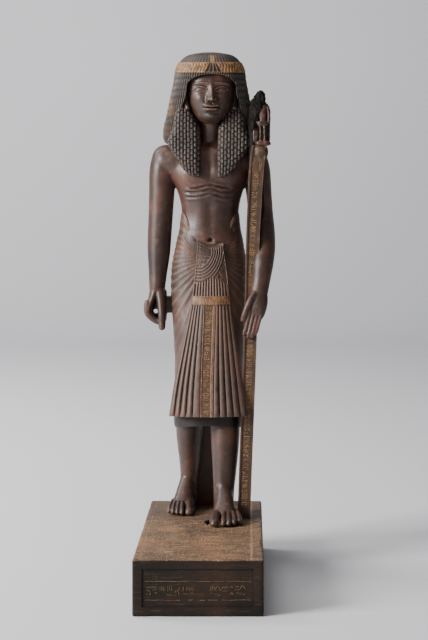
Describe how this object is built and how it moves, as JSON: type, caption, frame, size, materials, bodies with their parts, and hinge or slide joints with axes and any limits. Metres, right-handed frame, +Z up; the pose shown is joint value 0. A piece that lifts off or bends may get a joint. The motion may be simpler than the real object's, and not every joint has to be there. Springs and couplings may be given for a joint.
{
  "type": "standard-bearer statue",
  "caption": "Carved wooden figure of a striding man in a layered wig and a long pleated kilt, holding a tall square standard at his side, on a long wooden plinth.",
  "frame": {"origin": "the middle of the plinth's underside", "axes": "+Z up, the figure faces -Y, its right arm is on the -X side and the standard on the +X side"},
  "size_m": [0.151, 0.31, 0.5869],
  "materials": {
    "figure_wood": "dark worn wood with a soft gloss",
    "plinth_wood": "dry brown wood with open grain"
  },
  "bodies": {
    "root": {"figure": "figure_wood", "plinth": "plinth_wood"}
  },
  "joints": []
}
